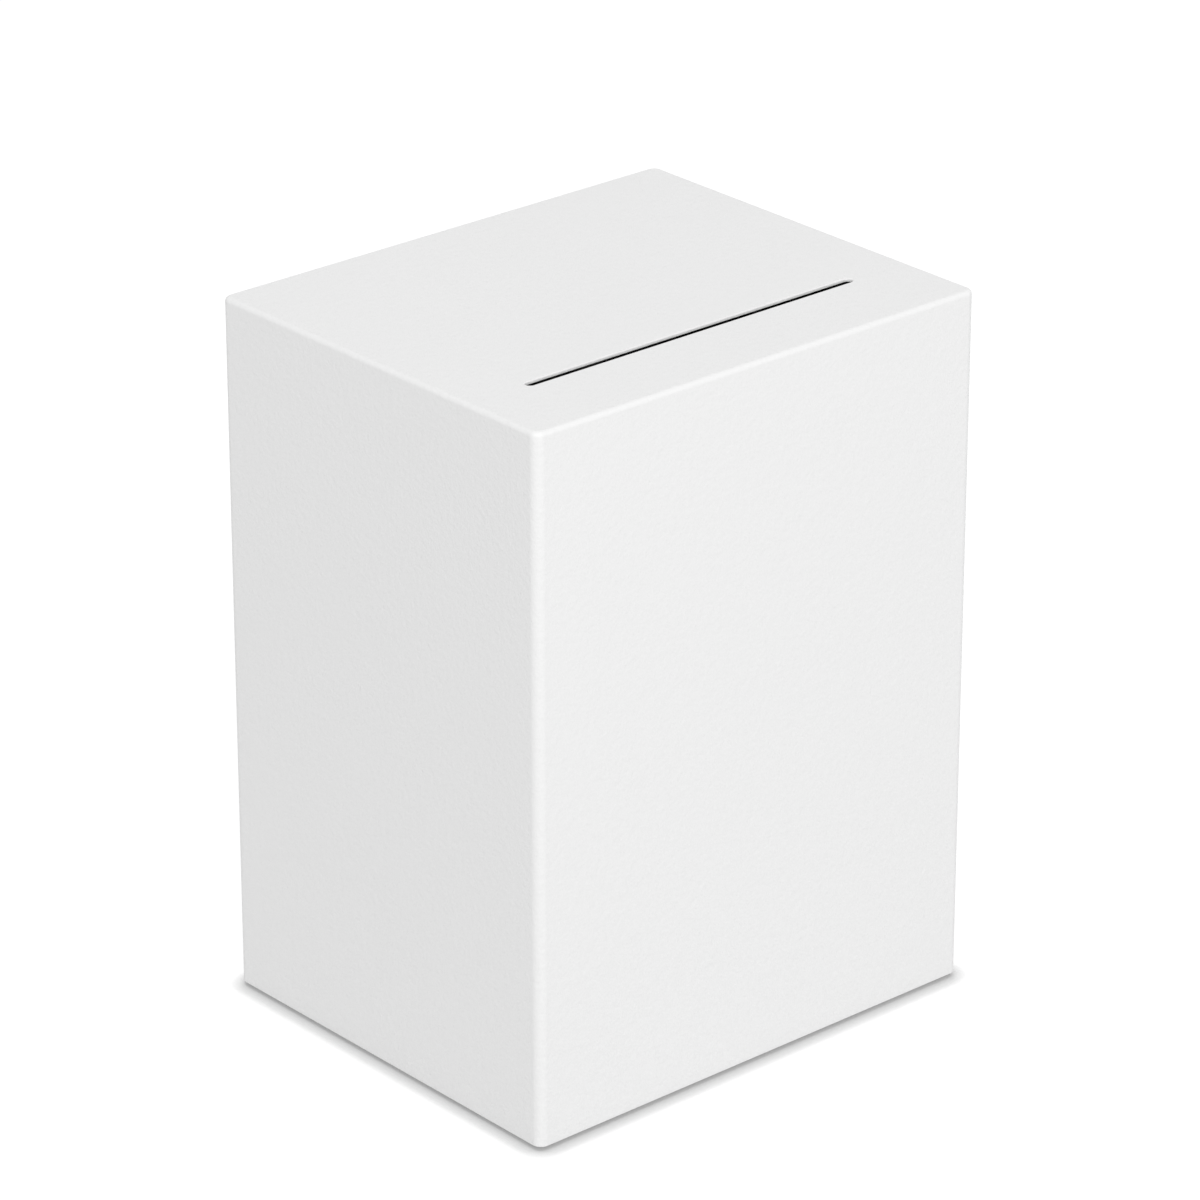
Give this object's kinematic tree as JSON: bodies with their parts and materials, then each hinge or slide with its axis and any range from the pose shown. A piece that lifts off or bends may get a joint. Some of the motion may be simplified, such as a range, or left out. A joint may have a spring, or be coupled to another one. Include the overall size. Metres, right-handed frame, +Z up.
{
  "type": "money box",
  "caption": "Upright sheet-steel money box with rounded edges, a note slot in its top, rubber feet and a hinged, key-locked door at its back.",
  "frame": {"origin": "middle of the footprint, on the surface that the feet stand on", "axes": "+Z up, -Y out of the plain front face, +Y out of the back with the door, +X to the right seen from the front"},
  "size_m": [0.12, 0.1042, 0.16],
  "materials": {
    "white_coat": "satin powder coat",
    "zinc_plate": "zinc plated",
    "chrome_plate": "polished",
    "plug_brass": "turned",
    "foot_rubber": "matte"
  },
  "bodies": {
    "box": {"body_shell": "white_coat", "base_pan": "white_coat", "foot_front_left": "foot_rubber", "foot_front_right": "foot_rubber", "foot_rear_left": "foot_rubber", "foot_rear_right": "foot_rubber", "hinge_frame_leaf": "zinc_plate", "hinge_pin": "zinc_plate", "frame_rivet_1": "zinc_plate", "frame_rivet_2": "zinc_plate", "frame_rivet_3": "zinc_plate", "frame_rivet_4": "zinc_plate"},
    "door": {"rear_door": "white_coat", "hinge_door_leaf": "zinc_plate", "door_rivet_1": "zinc_plate", "door_rivet_2": "zinc_plate", "door_rivet_3": "zinc_plate", "door_rivet_4": "zinc_plate", "lock_housing": "chrome_plate", "lock_washer": "zinc_plate", "lock_nut": "zinc_plate"},
    "lock_cylinder": {"lock_plug": "plug_brass", "stop_washer": "zinc_plate", "lock_cam": "zinc_plate", "cam_screw": "zinc_plate"}
  },
  "joints": [
    {"name": "door_hinge", "type": "hinge", "parent": "box", "child": "door", "pos_m": [-0.0475, 0.05005, 0.0805], "axis": [0, 0, 1], "range_deg": [0, 180]},
    {"name": "lock_turn", "type": "hinge", "parent": "door", "child": "lock_cylinder", "pos_m": [0.03122, 0.04785, 0.0805], "axis": [0, -1, 0], "range_deg": [0, 90]}
  ]
}
